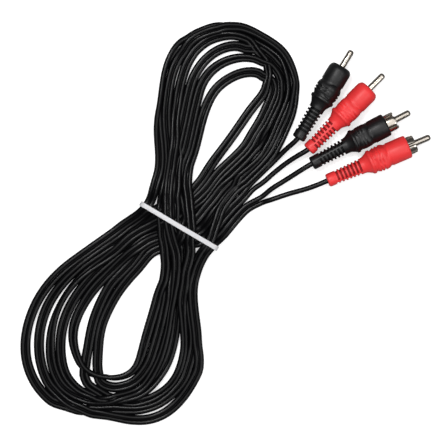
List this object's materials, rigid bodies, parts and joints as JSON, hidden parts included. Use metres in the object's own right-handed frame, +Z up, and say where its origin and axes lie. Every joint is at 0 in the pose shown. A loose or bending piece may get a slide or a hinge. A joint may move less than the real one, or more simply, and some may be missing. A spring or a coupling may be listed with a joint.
{
  "type": "phono audio cable",
  "caption": "Stereo phono cable wound as a flat crossed hank and tied at its waist, with black and red moulded plugs fanned out beside it.",
  "frame": {"origin": "middle of the cable's footprint, on the surface that it lies on", "axes": "+Z up from that surface; seen from above, +X right and +Y away, with the plugs at +X and the hank running from lower left to upper middle"},
  "size_m": [0.2057, 0.2022, 0.0129],
  "materials": {
    "black_boot_pvc": "satin moulded flexible PVC",
    "red_boot_pvc": "satin moulded flexible PVC",
    "cable_pvc": "soft black cable jacket with a light sheen",
    "nickel_plate": "bright nickel plate on brass",
    "insulator_plastic": "plain moulded plastic",
    "core_insulation": "polyethylene core over the inner conductor",
    "copper_braid": "bare copper strands, twisted",
    "nylon": "natural nylon, slightly milky"
  },
  "bodies": {
    "root": {"black_1_boot": "black_boot_pvc", "black_1_ground_shell": "nickel_plate", "black_1_insulator": "insulator_plastic", "black_1_centre_pin": "nickel_plate", "black_1_core_wire": "core_insulation", "black_1_shield_tail": "copper_braid", "black_1_lead": "cable_pvc", "red_1_boot": "red_boot_pvc", "red_1_ground_shell": "nickel_plate", "red_1_insulator": "insulator_plastic", "red_1_centre_pin": "nickel_plate", "red_1_core_wire": "core_insulation", "red_1_shield_tail": "copper_braid", "red_1_lead": "cable_pvc", "black_2_boot": "black_boot_pvc", "black_2_ground_shell": "nickel_plate", "black_2_insulator": "insulator_plastic", "black_2_centre_pin": "nickel_plate", "black_2_core_wire": "core_insulation", "black_2_shield_tail": "copper_braid", "black_2_lead": "cable_pvc", "red_2_boot": "red_boot_pvc", "red_2_ground_shell": "nickel_plate", "red_2_insulator": "insulator_plastic", "red_2_centre_pin": "nickel_plate", "red_2_core_wire": "core_insulation", "red_2_shield_tail": "copper_braid", "red_2_lead": "cable_pvc", "cable_hank": "cable_pvc", "cable_tie": "nylon"}
  },
  "joints": []
}
